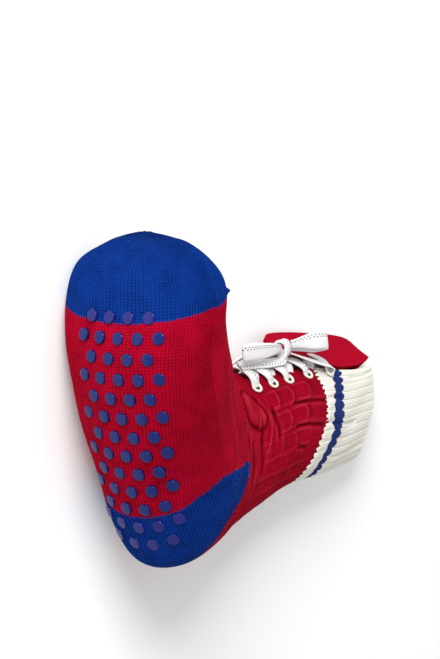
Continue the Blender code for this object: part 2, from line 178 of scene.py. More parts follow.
# The knot's place over the throat, and the routes of the bow and of the lace from the top eyelets to it,
# all counted from the knot in lace widths.
KNOT_PLACE = (2.55, 9.8)
KNOT_LIFT = 0.0117
NEAR_TOP = (
    (2.92, -1.63, 1.20), (1.74, -1.04, 0.79), (0.46, -0.36, 0.33),
)
FAR_TOP = (
    (2.45, -1.10, -2.10), (1.27, -0.69, -1.39), (0.39, -0.36, -0.51),
)
LEFT_LOOP = (
    (-0.61, 0.22, 0.24), (-1.43, 0.40, 0.44), (-2.73, 0.58, 0.48),
    (-4.02, 0.74, 0.32), (-4.70, 0.80, 0.00), (-4.02, 0.72, -0.32),
    (-2.61, 0.52, -0.44), (-1.43, 0.32, -0.36), (-0.61, 0.10, -0.14),
)
RIGHT_LOOP = (
    (0.47, 0.31, 0.45), (1.27, 0.37, 1.26), (2.22, 0.31, 1.85),
    (3.10, 0.07, 1.79), (2.92, -0.10, 1.08), (1.86, -0.04, 0.55),
    (0.58, 0.02, 0.08),
)
NEAR_END = (
    (-0.45, -0.66, 0.14), (-1.15, -0.66, 0.10), (-2.20, -0.56, -0.10),
    (-3.30, -0.39, -0.42), (-4.35, -0.24, -0.80),
)
FAR_END = (
    (-0.18, -0.10, -0.79), (-0.61, -0.04, -1.39), (-1.43, -0.16, -2.10),
    (-2.37, -0.51, -2.68), (-3.20, -0.93, -3.10),
)

# Heights of a run of lace over the knit, by its share of the way from its eyelet to the far edge
OVER = (
    (0, -0.0010), (0.05, 0.0014), (0.14, 0.0034), (0.5, 0.0040),
    (0.84, 0.0030), (0.93, 0.0004), (1, -0.0024),
)
UNDER = (
    (0, -0.0010), (0.05, 0.0014), (0.14, 0.0022), (0.5, 0.0022),
    (0.84, 0.0016), (0.93, -0.0004), (1, -0.0026),
)

# The outline of the roll of knit at the ankle, on either side: place along the sock and angle
ROLL = (
    (4.73, 34.5), (4.33, 39.0), (4.10, 44.5), (3.94, 50.0), (3.75, 56.5), (3.66, 62.0), (3.68, 66.5),
    (3.79, 71.0), (3.97, 70.0), (4.30, 65.0), (4.67, 59.5), (4.96, 52.5), (5.08, 45.5), (5.07, 38.0),
)

# The seam beside the heel pocket's edge towards the leg
HEEL_SEAM = (
    (4.62, 84.0), (4.64, 87.0), (4.74, 91.0), (4.86, 96.0), (4.96, 104.0), (5.22, 109.0), (5.46, 117.0),
)

# Creases with a negative height and ridges with a positive one: width, height, and the line they follow
CREASES = (
    (
        0.0010,
        0.0008,
        ((3.86, 48.0), (3.68, 56.0), (3.55, 64.0), (3.52, 70.0), (3.55, 77.0), (3.61, 84.0), (3.69, 91.0)),
    ),
    (0.0022, 0.0004, ((9.20, 66.0), (8.49, 72.0), (7.53, 72.0), (6.89, 76.5), (6.40, 82.0))),
    (0.0014, -0.0016, ((3.40, 60.0), (3.36, 68.0), (3.30, 76.0), (3.28, 84.0))),
    (0.0010, -0.0014, ((2.75, 61.5), (2.42, 64.5), (2.00, 69.0))),
    (0.0010, -0.0014, ((2.75, 83.0), (2.54, 85.5), (2.06, 93.0))),
    (0.0010, -0.0012, ((2.68, 103.0), (2.50, 106.5))),
    (0.0020, -0.0012, ((3.95, 78.0), (3.86, 92.0), (3.80, 104.0))),
    (0.0030, -0.0012, ((5.20, 30.0), (5.35, 48.0), (5.20, 62.0), (4.80, 72.0))),
    (0.0012, 0.0006, ((5.40, 40.0), (5.34, 60.0), (5.10, 78.0), (4.80, 92.0))),
    (0.0022, -0.0010, ((4.50, 76.0), (4.30, 90.0), (4.20, 110.0))),
)

# Creases of the cuff: width, height and the line they follow
CUFF_CREASES = (
    (0.0012, -0.0012, ((0.00, 40.0), (0.40, 44.0), (0.85, 42.0))),
    (0.0012, -0.0014, ((0.62, 97.0), (1.20, 95.0), (2.00, 92.0))),
    (0.0014, -0.0012, ((1.40, 66.0), (2.00, 68.0))),
    (0.0016, -0.0010, ((0.10, 128.0), (1.20, 132.0))),
)

# The leg's chains of scales: the angle of each chain's middle by the cuff and at the ankle, how wide it is,
# how far its first scale is shifted, how plain its scales' ends are, and where it stops towards the ankle
CHAINS = (
    (52, 52, 21, 0.02, 1.0, 3.62),
    (74, 74, 20, 0.20, 0.9, 3.50),
    (96, 89, 18, 0.08, 0.5, 3.90),
    (114, 101, 16, 0.24, 0.3, 4.00),
    (130, 114, 16, 0.10, 0.2, 4.05),
    (146, 128, 16, 0.30, 0.15, 4.05),
    (163, 146, 18, 0.15, 0.15, 4.05),
)

# Colours of yarn, of the painted shade in the gaps between stitches and in creases, and of the painted light
# on raised places, which also tints the nap's sheen
RED = (0.50, 0.0, 0.022)
RED_GAP_SHADE = (0.07, 0.0, 0.003)
RED_NAP_AND_RIDGE_LIGHT = (0.64, 0.03, 0.06)
BLUE = (0.002, 0.038, 0.28)
BLUE_GAP_SHADE = (0.0, 0.003, 0.03)
BLUE_NAP_AND_RIDGE_LIGHT = (0.02, 0.10, 0.50)
CREAM = (0.75, 0.73, 0.655)
CREAM_GAP_SHADE = (0.62, 0.60, 0.53)
NAVY = (0.002, 0.020, 0.14)
NAVY_GAP_SHADE = (0.001, 0.006, 0.05)
FELT = (0.38, 0.0, 0.016)
LACE = (0.97, 0.97, 0.98)
INK = (0.02, 0.02, 0.025)
RING = (0.80, 0.77, 0.66)
# Painted shade for the eyelets' holes
HOLE_SHADE = (0.01, 0.006, 0.006)
DOT_ON_RED = ((0.001, 0.003, 0.045), (0.002, 0.012, 0.12))
DOT_ON_BLUE = ((0.003, 0.006, 0.10), (0.012, 0.012, 0.15))
PALE = (0.95, 0.95, 0.95)

# Light: the surround's strength, and the key light's direction, distance, side and power
SURROUND = 0.70
KEY = ((-0.46, 1.0, 0.72), 1.6, 0.8, 27)

# The camera, worked out from the photograph's outline, in the sock's frame
CAMERA_TURN = 38.944
CAMERA_HEIGHT = 12.935
CAMERA_ROLL = 5.865
CAMERA_DISTANCE = 1.706
CAMERA_TARGET = (0.044, 0.104, 0.0)
TARGET_PIXEL = (162.369, 396.288)
FOCAL_PIXELS = 2862.4
PICTURE = (440, 659)
SENSOR_MM = 36.0


def section_table():
    """Each section in metres: the x and y of its back and front, half width, widest place, side shift."""
    leg = LEG_HEIGHT - INSTEP_HEIGHT
    forefoot = FOOT_LENGTH - ANKLE_DEPTH
    rows = []
    for back_x, back_y, front_x, front_y, half, widest, side in LEG_SECTIONS:
        back = (INSTEP_HEIGHT + back_x * leg, back_y * ANKLE_DEPTH)
        front = (INSTEP_HEIGHT + front_x * leg, front_y * ANKLE_DEPTH)
        rows.append((*back, *front, half * LEG_WIDTH, widest, side * BALL_WIDTH))
    for sole_x, sole_y, top_x, top_y, half, widest, side in FOOT_SECTIONS:
        sole = (sole_x * INSTEP_HEIGHT, sole_y * FOOT_LENGTH)
        top = (top_x * INSTEP_HEIGHT, ANKLE_DEPTH + top_y * forefoot)
        rows.append((*sole, *top, half * BALL_WIDTH, widest, side * BALL_WIDTH))
    return np.array(rows)


SECTIONS = section_table()
LAST = len(SECTIONS) - 1
EXTENDED = np.vstack([2 * SECTIONS[0] - SECTIONS[1], SECTIONS, 2 * SECTIONS[-1] - SECTIONS[-2]])


def catmull_rom(a, b, c, d, f):
    """The value at share f from b to c on a smooth curve through a, b, c and d."""
    square = (2 * a - 5 * b + 4 * c - d) * f**2
    cube = (3 * b - a - 3 * c + d) * f**3
    return 0.5 * (2 * b + (c - a) * f + square + cube)


def skin(t, degrees):
    """Points of the knit's outer face, in the sock's frame, for arrays of places and angles."""
    t, degrees = np.broadcast_arrays(np.asarray(t, float), np.asarray(degrees, float))
    i = np.clip(t.astype(int), 0, LAST - 1)
    f = (t - i)[..., None]
    sizes = catmull_rom(EXTENDED[i], EXTENDED[i + 1], EXTENDED[i + 2], EXTENDED[i + 3], f)
    back_x, back_y, front_x, front_y, half, widest, side = np.moveaxis(sizes, -1, 0)
    u = np.radians(degrees)
    share = widest + np.where(np.cos(u) > 0, 1 - widest, widest) * np.cos(u)
    x = back_x + (front_x - back_x) * share
    y = back_y + (front_y - back_y) * share
    return np.stack([x, y, side + half * np.sin(u)], -1)


def unit(vectors):
    return vectors / np.maximum(np.linalg.norm(vectors, axis=-1, keepdims=True), 1e-12)


def outward(t, degrees):
    """The outward directions at points of the knit's outer face."""
    t = np.asarray(t, float)
    along = skin(np.minimum(t + 0.02, LAST), degrees) - skin(np.maximum(t - 0.02, 0), degrees)
    around = skin(t, np.asarray(degrees) + 2) - skin(t, np.asarray(degrees) - 2)
    return unit(np.cross(along, around))


def over_skin(t, degrees, lift):
    return skin(t, degrees) + np.asarray(lift)[..., None] * outward(t, degrees)


def from_knot(route):
    """The points of a route that is counted from the knot in lace widths."""
    return over_skin(*KNOT_PLACE, KNOT_LIFT) + LACE_WIDTH * np.array(route)


def from_front(degrees):
    """The angle away from the front, 0 to 180, on either side."""
    return np.abs((np.asarray(degrees) + 180) % 360 - 180)


def table_value(degrees, table, column=1):
    """A value read from a table by the angle from the front."""
    return np.interp(from_front(degrees), [row[0] for row in table], [row[column] for row in table])


def bands(degrees, column):
    return table_value(degrees, CUFF_BANDS, column)


def smoothstep(low, high, value):
    share = np.clip((value - low) / (high - low), 0, 1)
    return share * share * (3 - 2 * share)


def ridge(away, width):
    """A rounded profile: 1 in its middle, and next to nothing two widths away."""
    return np.exp(-((away / width) ** 2))


def throat_half(t):
    """Half the throat's angle."""
    share = np.clip(np.asarray(t) / THROAT_END, 0, 1)
    return THROAT_TOP_ANGLE + (THROAT_END_ANGLE - THROAT_TOP_ANGLE) * share


def lengths(points):
    """How far each point lies along a line from its first."""
    return np.concatenate([[0], np.cumsum(np.linalg.norm(np.diff(points, axis=0), axis=1))])


def resting_frame():
    """The matrix from the sock's frame to the row's, worked out from where the eyelets' solids lie."""
    own, placed = [], []
    for side, sign in (("near", 1), ("far", -1)):
        for i, t in enumerate(EYELETS):
            lift = CLEARANCE + EYELET_WIRE + (CUFF_STEP if t < 2 else 0)
            own.append(over_skin(t, sign * EYELET_ANGLE, lift))
            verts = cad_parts[f"eyelet_{side}_{i + 1}"].data.vertices
            points = np.array([vert.co for vert in verts])
            placed.append((points.min(0) + points.max(0)) / 2)
    own, placed = np.array(own), np.array(placed)
    u, _, v = np.linalg.svd((own - own.mean(0)).T @ (placed - placed.mean(0)))
    turn = (u @ v).T
    if np.linalg.det(turn) < 0:
        v[-1] *= -1
        turn = (u @ v).T
    return turn, placed.mean(0) - turn @ own.mean(0)


TURN, SHIFT = resting_frame()


def placed(points):
    """Points of the sock's frame in the row's frame, none of them under the floor."""
    result = np.asarray(points) @ TURN.T + SHIFT
    result[..., 2] = np.maximum(result[..., 2], 0.0)
    return result


def pixel_ray(pixel):
    """The direction through a pixel, in the camera's own axes."""
    x = (pixel[0] - PICTURE[0] / 2) / FOCAL_PIXELS
    y = (pixel[1] - PICTURE[1] / 2) / FOCAL_PIXELS
    return Vector((x, -y, -1)).normalized()


def make_camera():
    """The photograph's camera: it looks at the sole from the toe's side, a little from above."""
    turn, height, roll = (radians(v) for v in (CAMERA_TURN, CAMERA_HEIGHT, CAMERA_ROLL))
    back = Vector((-cos(turn) * cos(height), sin(height), sin(turn) * cos(height)))
    up = (Vector((0, 1, 0)) - back.y * back).normalized()
    right = (-back).cross(up)
    rolled_right = cos(roll) * right - sin(roll) * up
    rolled_up = sin(roll) * right + cos(roll) * up
    axes = Matrix((rolled_right, rolled_up, back)).transposed()
    aim = (axes @ pixel_ray(TARGET_PIXEL)).rotation_difference(-back).to_matrix()
    sock_to_row = Matrix(TURN.tolist())
    axes = (sock_to_row @ aim @ axes).to_4x4()
    place = Vector(CAMERA_TARGET) + back * CAMERA_DISTANCE
    data = bpy.data.cameras.new("camera")
    data.sensor_fit = "HORIZONTAL"
    data.sensor_width = SENSOR_MM
    data.lens = FOCAL_PIXELS / PICTURE[0] * SENSOR_MM
    data.clip_end = 20
    camera = bpy.data.objects.new("camera", data)
    bpy.context.scene.collection.objects.link(camera)
    camera.matrix_world = Matrix.Translation(sock_to_row @ place + Vector(SHIFT)) @ axes
    bpy.context.scene.camera = camera


class Nodes:
    """A material's node tree, with short calls for maths."""

    def __init__(self, name):
        self.material = bpy.data.materials.new(name)
        self.material.use_nodes = True
        self.tree = self.material.node_tree
        self.shader = self.tree.nodes["Principled BSDF"]

    def add(self, kind, **settings):
        node = self.tree.nodes.new(kind)
        for name, value in settings.items():
            setattr(node, name, value)
        return node

    def link(self, source, target):
        self.tree.links.new(source, target)

    def put(self, socket, value):
        if hasattr(value, "is_linked"):
            self.link(value, socket)
        else:
            socket.default_value = value

    def math(self, operation, a, b=0.0, c=0.0):
        node = self.add("ShaderNodeMath", operation=operation)
        for socket, value in zip(node.inputs, (a, b, c)):
            self.put(socket, value)
        return node.outputs[0]

    def times(self, a, b, plus=0.0):
        return self.math("MULTIPLY_ADD", a, b, plus)

    def clip(self, value, highest=1.0):
        return self.math("MINIMUM", self.math("MAXIMUM", value, 0.0), highest)

    def noise(self, scale, detail=2.0):
        node = self.add("ShaderNodeTexNoise")
        node.inputs["Scale"].default_value = scale
        node.inputs["Detail"].default_value = detail
        self.link(self.add("ShaderNodeTexCoord").outputs["Object"], node.inputs["Vector"])
        return node.outputs["Fac"]

    def mix(self, share, a, b):
        node = self.add("ShaderNodeMix", data_type="RGBA")
        self.put(node.inputs["Factor"], share)
        for socket, value in ((node.inputs["A"], a), (node.inputs["B"], b)):
            if not hasattr(value, "is_linked"):
                value = (*value, 1) if len(value) == 3 else value
            self.put(socket, value)
        return node.outputs["Result"]

    def uv(self):
        """The piece's own coordinates: across and along."""
        split = self.add("ShaderNodeSeparateXYZ")
        self.link(self.add("ShaderNodeUVMap").outputs[0], split.inputs[0])
        return split.outputs["X"], split.outputs["Y"]

    def bump(self, height, distance, strength=1.0):
        node = self.add("ShaderNodeBump")
        node.inputs["Distance"].default_value = distance
        node.inputs["Strength"].default_value = strength
        self.link(height, node.inputs["Height"])
        self.link(node.outputs[0], self.shader.inputs["Normal"])

    def finish(self, colour, roughness, sheen=0.0, coat=0.0, specular=0.5, tint=(1, 1, 1)):
        """Sets the shader's sockets. Only the colour may come from other nodes."""
        self.put(self.shader.inputs["Base Color"], colour)
        for socket, value in (
            ("Roughness", roughness),
            ("Specular IOR Level", specular),
            ("Sheen Weight", sheen),
            ("Sheen Roughness", 0.5),
            ("Sheen Tint", (*tint, 1)),
            ("Coat Weight", coat),
            ("Coat Roughness", 0.12),
        ):
            self.shader.inputs[socket].default_value = value
        return self.material


def knit_material(name, colour, gap_shade, nap_and_ridge_light):
    """Stockinette: each wale is a column of V stitches, with painted shade where the yarn sinks between
    them, painted light on raised places and painted shade in creases.
    """
    made = Nodes(name)
    x, y = made.uv()
    wobble = made.times(made.noise(260.0), 0.2, -0.1)
    across = made.math("FRACT", made.math("ADD", x, wobble))
    away = made.times(made.math("ABSOLUTE", made.math("SUBTRACT", across, 0.5)), 2.0)
    off_leg = made.math("ABSOLUTE", made.times(away, 1.9, -0.9))
    leg = made.math("MAXIMUM", made.math("SUBTRACT", 1.0, made.math("POWER", off_leg, 1.7)), 0.0)
    phase = made.math("FRACT", made.times(away, 0.6, made.math("ADD", y, wobble)))
    strand = made.math("POWER", made.math("SINE", made.times(phase, pi)), 0.6)
    height = made.times(leg, made.times(strand, 0.75, 0.25))
    patchy = made.times(made.noise(90.0, 4.0), 1.1, -0.42)
    # Painted shade: the low places between stitches take the gap shade colour, over random patches of tone.
    lit = made.math("SUBTRACT", made.times(height, 1.2, patchy), 0.22)
    lit = made.clip(made.times(made.noise(600.0, 3.0), 0.5, lit))
    # Painted light on places that stand out of the knit around them, and painted shade in its creases and
    # troughs.
    relief = made.add("ShaderNodeAttribute", attribute_name="relief").outputs["Fac"]
    ridge_light = made.clip(relief, 0.75)
    crease_shade = made.clip(made.times(relief, -1.0), 0.7)
    shown = made.mix(ridge_light, made.mix(crease_shade, made.mix(lit, gap_shade, colour), gap_shade), nap_and_ridge_light)
    made.bump(made.times(made.noise(1500.0, 3.0), 0.25, height), 0.0008)
    return made.finish(shown, 0.95, sheen=0.10, specular=0.05, tint=nap_and_ridge_light)


def rib_material(name, colour, gap_shade):
    """The cuff's fine ribbed knit: faint columns of stitches over the ribs' own shape, with painted shade
    between them.
    """
    made = Nodes(name)
    x, y = made.uv()
    away = made.math("ABSOLUTE", made.math("SUBTRACT", made.math("FRACT", x), 0.5))
    column = made.math("SUBTRACT", 1.0, made.math("POWER", made.times(away, 2.0), 3.0))
    row = made.math("ABSOLUTE", made.math("SINE", made.times(made.times(away, 0.8, y), pi)))
    height = made.times(column, made.times(row, 0.35, 0.65))
    height = made.times(made.noise(1200.0, 3.0), 0.3, height)
    # Painted shade between the columns of stitches: low places take the gap shade colour.
    lit = made.math("MINIMUM", made.times(height, 0.6, 0.45), 1.0)
    made.bump(height, 0.0002)
    return made.finish(made.mix(lit, gap_shade, colour), 0.95, sheen=0.05, specular=0.08)


def felt_material(name, colour):
    """Felt: a fine nap over a cloudy ground."""
    made = Nodes(name)
    fine = made.noise(1500.0, 4.0)
    cloudy = made.noise(45.0, 3.0)
    share = made.times(fine, 0.35, made.times(cloudy, 0.45))
    made.bump(fine, 0.0003, 0.6)
    dark = tuple(0.72 * c for c in colour)
    return made.finish(made.mix(share, dark, colour), 0.95, sheen=0.12, specular=0.05, tint=colour)


def lace_material(name, colour, ink):
    """A flat woven lace: a fine slanted weave, and two staggered rows of short dashes near one edge."""
    made = Nodes(name)
    x, y = made.uv()
    weave = None
    for slope in (5.0, -5.0):
        wave = made.math("SINE", made.times(made.times(x, slope, y), 2 * pi / 0.9))
        weave = wave if weave is None else made.times(weave, wave)
    dashes = None
    for row, shift in ((0.42, 0.0), (0.68, 1.2)):
        near = made.math("COMPARE", x, row, 0.07)
        along = made.math("FRACT", made.math("DIVIDE", made.math("ADD", y, shift), 2.4))
        mark = made.times(near, made.math("LESS_THAN", along, 0.38))
        dashes = mark if dashes is None else made.math("MAXIMUM", dashes, mark)
    shade = made.times(weave, 0.10, 0.90)
    plain = made.mix(shade, tuple(0.85 * c for c in colour), colour)
    made.bump(made.times(made.noise(1200.0), 0.4, weave), 0.00015)
    return made.finish(made.mix(dashes, plain, ink), 0.9, sheen=0.05, specular=0.1)


def plain_material(name, colour, roughness, coat=0.0):
    """A smooth moulded finish with a slight mottle."""
    made = Nodes(name)
    grain = made.noise(400.0)
    made.bump(grain, 0.00008)
    return made.finish(made.mix(grain, tuple(0.82 * c for c in colour), colour), roughness, coat=coat)


def dot_material(name, rim, core):
    """A printed rubber dot: clear gloss over a dark rim and a lighter middle."""
    made = Nodes(name)
    x, _ = made.uv()
    share = made.math("SUBTRACT", 1.0, made.math("POWER", x, 7.0))
    made.bump(made.noise(300.0), 0.0001)
    return made.finish(made.mix(share, rim, core), 0.4, coat=0.6, specular=0.0)


def new_piece(mesh, material, slot, *nodes):
    """A mesh as a piece of its own name that rides on the sock's one body."""
    obj = bpy.data.objects.new(mesh.name, mesh)
    bpy.context.scene.collection.objects.link(obj)
    mesh.materials.append(material)
    mesh.shade_smooth()
    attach(obj, "root")
    if nodes:
        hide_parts(*nodes)
    return obj


def mesh_from(name, points, faces, uvs, caps=(), relief=None):
    """A mesh through the points that its faces use, with one pair of coordinates a point and, where it is
    given, how far each point stands out of the knit around it."""
    faces = np.asarray(faces)
    used, index = np.unique(faces, return_inverse=True)
    faces = index.reshape(faces.shape)
    mesh = bpy.data.meshes.new(name)
    mesh.from_pydata(points[used].tolist(), [], faces.tolist() + list(caps))
    layer = mesh.uv_layers.new(name="UVMap")
    loops = np.empty(len(mesh.loops), np.int32)
    mesh.loops.foreach_get("vertex_index", loops)
    layer.data.foreach_set("uv", uvs[used][loops].astype(np.float32).ravel())
    if relief is not None:
        stands_out = mesh.attributes.new("relief", "FLOAT", "POINT")
        stands_out.data.foreach_set("value", relief.ravel()[used].astype(np.float32))
    mesh.update()
    return mesh


def grid_faces(rows, columns, keep=None):
    """The quads of a grid, facing outward, or those that are kept."""
    i, j = np.meshgrid(np.arange(rows - 1), np.arange(columns - 1), indexing="ij")
    a = i * columns + j
    quads = np.stack([a, a + columns, a + columns + 1, a + 1], -1)
    return quads[keep] if keep is not None else quads.reshape(-1, 4)


def tube_faces(rows, columns, closed=False):
    """The quads of a tube, closed round its columns and, for a ring, along its rows too."""
    i, j = np.meshgrid(np.arange(rows if closed else rows - 1), np.arange(columns), indexing="ij")
    below, beside = (i + 1) % rows, (j + 1) % columns
    quads = [i * columns + j, below * columns + j, below * columns + beside, i * columns + beside]
    return np.stack(quads, -1).reshape(-1, 4)


def cell_centres(values):
    return (values[:-1, :-1] + values[1:, :-1] + values[:-1, 1:] + values[1:, 1:]) / 4


def row_numbers(points, start):
    """How many rows of stitches lie between the start row and each point, along its own column."""
    steps = np.linalg.norm(np.diff(points, axis=0), axis=-1)
    total = np.vstack([np.zeros((1, points.shape[1])), np.cumsum(steps, 0)])
    return (total - total[start]) / STITCH_HEIGHT


def soft_lumps(t, degrees):
    """Slow unevenness of a stuffed knit."""
    u = np.radians(degrees)
    waves = np.sin(2.1 * t + 2 * u + 0.4) + np.sin(1.3 * t - 3 * u + 2.0)
    waves = waves + 0.7 * np.sin(3.4 * t + 5 * u + 1.1) + 0.5 * np.sin(5.2 * t - 7 * u)
    return 0.0003 * waves


def wale_lift(degrees):
    """The rounded back of each column of stitches."""
    wale = np.asarray(degrees) / 360 * WALES
    return 0.0004 * np.abs(np.sin(pi * wale)) ** 0.8 - 0.0002


def whole_ring(rows):
    """Angles right round the sock, from the far side on the floor and back to it."""
    count = WALES * COLUMNS_PER_WALE
    return np.tile(360 * np.arange(count + 1) / count - 90, (rows, 1))


def even_rows(t_from, t_to, spacing):
    """Places along the sock about evenly spaced over its side."""
    fine = np.linspace(t_from, t_to, 400)
    line = skin(fine, 100.0)
    length = lengths(line)
    count = max(int(length[-1] / spacing), 4)
    return np.interp(np.linspace(0, length[-1], count + 1), length, fine)


def tooth(degrees):
    """How far one stitch reaches over a border between two yarns, by its place on its wale."""
    wale = np.asarray(degrees) / 360 * WALES
    return TOOTH * np.abs(2 * (wale % 1) - 1)


def in_heel(t, degrees):
    angle = from_front(degrees)
    inside = (t > table_value(degrees, HEEL_OUTLINE, 1)) & (t < table_value(degrees, HEEL_OUTLINE, 2))
    return inside & (angle > HEEL_OUTLINE[0][0])


def knit_piece(name, points, degrees, rows, material, slot, keep=None, relief=None, inward=False):
    """A grid of points on the knit as a piece, with coordinates counted in wales and rows of stitches."""
    faces = grid_faces(*degrees.shape, keep)
    if inward:
        faces = faces[:, ::-1]
    uvs = np.stack([degrees / 360 * WALES, rows], -1).reshape(-1, 2)
    mesh = mesh_from(name, points.reshape(-1, 3), faces, uvs, relief=relief)
    new_piece(mesh, material, slot, "knit_sock")


def on_leg(t, degrees):
    """Places near the upper side as flat metres, for distances between them."""
    return np.stack([np.asarray(t, float) * 0.030, np.asarray(degrees, float) * 0.0006], -1)


def line_distance(t, degrees, route):
    """The distance from a broken line of (place, angle) points on the knit."""
    p = on_leg(t, degrees)
    nodes = on_leg(*np.array(route, float).T)
    best = np.full(np.shape(t), 1.0)
    for a, b in zip(nodes, nodes[1:]):
        d = b - a
        share = np.clip((p - a) @ d / (d @ d), 0, 1)
        best = np.minimum(best, np.linalg.norm(p - a - share[..., None] * d, axis=-1))
    return best


def inside_outline(t, degrees, outline):
    """Whether places lie within a closed outline, counted by the edges that a ray crosses."""
    crossings = np.zeros(np.shape(t), int)
    for (t1, u1), (t2, u2) in zip(outline, outline[1:] + outline[:1]):
        spans = (u1 > degrees) != (u2 > degrees)
        at = t1 + (degrees - u1) * (t2 - t1) / (u2 - u1 if u2 != u1 else 1.0)
        crossings += spans & (t < at)
    return crossings % 2 == 1


def softened(values, reach):
    """A grid's values averaged over the places within reach of each."""
    kernel = np.ones(2 * reach + 1) / (2 * reach + 1)

    def average(row):
        return np.convolve(np.pad(row, reach, "edge"), kernel, "valid")

    return np.apply_along_axis(average, 1, np.apply_along_axis(average, 0, values))


def relief_of(lift):
    """How far each place of a grid stands out of the places around it, from -1 to 1. The knit paints light
    where it is above 0 and shade where it is below.
    """
    return np.clip((lift - softened(lift, RELIEF_REACH)) / RELIEF_DEPTH, -1, 1)


def creased(t, angle, creases):
    """How far creases and ridges lift the knit."""
    lift = 0.0
    for width, height, route in creases:
        lift = lift + height * ridge(line_distance(t, angle, route), width)
    return lift


def folds(t, degrees):
    """The thick roll of knit at the ankle, the ridge beside it, and the creases of foot and leg."""
    angle = from_front(degrees)
    away = line_distance(t, angle, ROLL + ROLL[:1])
    within = inside_outline(t, angle, ROLL)
    roll = np.where(within, 0.0023 * (1 - (1 - np.clip(away / 0.0060, 0, 1)) ** 2), 0.0)
    pinched = 0.4 + 0.6 * np.sin(25 * pi * t) ** 2
    seam = -0.0012 * ridge(line_distance(t, angle, HEEL_SEAM), 0.0010) * pinched
    beside = -0.0010 * ridge(away, 0.0014) * ~within
    return softened(roll, 3) + seam + beside + creased(t, angle, CREASES)


def foot_lift(t, degrees):
    """The foot's knit: wales that fade at the tip, the seam over the toes with its ear, and the folds."""
    angle = from_front(degrees)
    lift = wale_lift(degrees) * smoothstep(LAST, LAST - 1.2, t) + soft_lumps(t, degrees)
    seam = ridge(t - TOE_SEAM, 0.04) * smoothstep(72, 64, angle)
    ear = ridge(t - TOE_SEAM, 0.05) * ridge(angle - 60, 3)
    return lift + 0.0009 * seam + 0.0016 * ear + folds(t, degrees)


def foot(red, blue):
    """The red foot with the blue heel and toe pockets let into it, closed at the toe's tip."""
    t_rows = even_rows(FOOT_START, LAST, FOOT_SPACING)
    degrees = whole_ring(len(t_rows))
    t = np.broadcast_to(t_rows[:, None], degrees.shape)
    own = over_skin(t, degrees, foot_lift(t, degrees))
    middle = own[-1].mean(0)
    shares = (0.66, 0.33, 0.02)
    tip = [middle + (own[-1] - middle) * share + (0, 0.0006 * (1 - share), 0) for share in shares]
    points = placed(np.concatenate([own, tip]))
    degrees = whole_ring(len(points))
    t = np.broadcast_to(np.append(t_rows, [LAST] * len(shares))[:, None], degrees.shape)
    rows = row_numbers(points, int(np.searchsorted(t_rows, TOE_START)))
    relief = relief_of(folds(t, degrees))
    mid_u = cell_centres(degrees)
    jagged_t = cell_centres(t) + tooth(mid_u) - 0.02
    toe = jagged_t > table_value(mid_u, TOE_EDGE)
    heel = in_heel(jagged_t, mid_u)
    for name, keep, material, slot in (
        ("foot", ~heel & ~toe, red, "red_knit"),
        ("heel", heel & ~toe, blue, "blue_knit"),
        ("toe", toe, blue, "blue_knit"),
    ):
        knit_piece(name, points, degrees, rows, material, slot, keep, relief)


def scales(t, angle):
    """Overlapping scales with rounded ends towards the cuff and a thin raised outline, most of them round
    at the front. Down the back only the outlines between the chains show."""
    lift = np.zeros_like(angle)
    ankle = np.clip((t - 2.3) / 2.0, 0, 1)
    for low, high, wide, start, plain, stop in CHAINS:
        across = (angle - low - (high - low) * ankle) / (wide / 2 * (1 - 0.15 * ankle))
        arch = np.sqrt(np.clip(1 - across**2, 0, 1))
        drift = 0.05 * np.sin(2.3 * t + 0.2 * low)
        q = ((t - start) / SCALE_PERIOD + 0.40 * arch + drift) % 1
        body = smoothstep(0.0, 0.16, q) * (1 - 0.8 * q)
        end = ridge(q - 0.15, 0.07)
        side = ridge(np.abs(across) - 0.84, 0.12)
        chain = plain * (0.0008 * body * arch**0.5 + 0.0004 * end) + 0.00045 * side - 0.0003
        lift = np.where(np.abs(across) < 1, chain * smoothstep(stop, stop - 0.25, t), lift)
    return lift


def leg_shape(t, degrees):
    """The leg's chains of scales, plain next to the cuff, and its folds."""
    angle = from_front(degrees)
    shown = smoothstep(2.15, 2.5, t) * smoothstep(40, 44, angle)
    return softened(shown * scales(t, angle) + folds(t, degrees), 1)


def leg_lift(t, degrees):
    """The leg's wales, its unevenness and the hems along the throat."""
    hem = ridge(from_front(degrees) - throat_half(t), 4) * (t < THROAT_END)
    return 0.6 * wale_lift(degrees) + soft_lumps(t, degrees) + 0.0006 * hem


def open_ring(half, count):
    """Angles from one edge of an opening round to the other, for each row's half angle of the opening."""
    return half[:, None] + (360 - 2 * half[:, None]) * np.arange(count + 1) / count


def throat_columns(t_rows):
    """Angles from one throat edge round to the other, or right round below the throat's end."""
    half = np.where(t_rows < THROAT_END, throat_half(t_rows), 0.0)
    return open_ring(half, WALES * COLUMNS_PER_WALE)


def rolled_edges(points, normals, open_rows):
    """Turns the outermost columns under, so that an open edge is a rounded hem as thick as the wall."""
    for edge, inner in ((0, 1), (-1, -2)):
        out = unit(points[:, edge] - points[:, inner * 2])
        for step in range(3):
            column = edge + step if edge == 0 else edge - step
            angle = pi * (1 - step / 3)
            shift = out * (sin(angle) - 1) - normals[:, column] * (1 - cos(angle))
            points[open_rows, column] += WALL / 2 * shift[open_rows]
    return points


def leg(red):
    """The red leg, open down the throat."""
    t_rows = even_rows(LEG_START, FOOT_START + 0.02, LEG_SPACING)
    t_rows = np.unique(np.append(t_rows, THROAT_END))
    degrees = throat_columns(t_rows)
    t = np.broadcast_to(t_rows[:, None], degrees.shape)
    shape = leg_shape(t, degrees)
    points = over_skin(t, degrees, leg_lift(t, degrees) + shape)
    points = placed(rolled_edges(points, outward(t, degrees), t_rows < THROAT_END))
    keep = cell_centres(t) > bands(cell_centres(degrees), 1) - UNDER_CUFF
    rows = row_numbers(points, 0)
    knit_piece("leg", points, degrees, rows, red, "red_knit", keep, relief_of(shape))


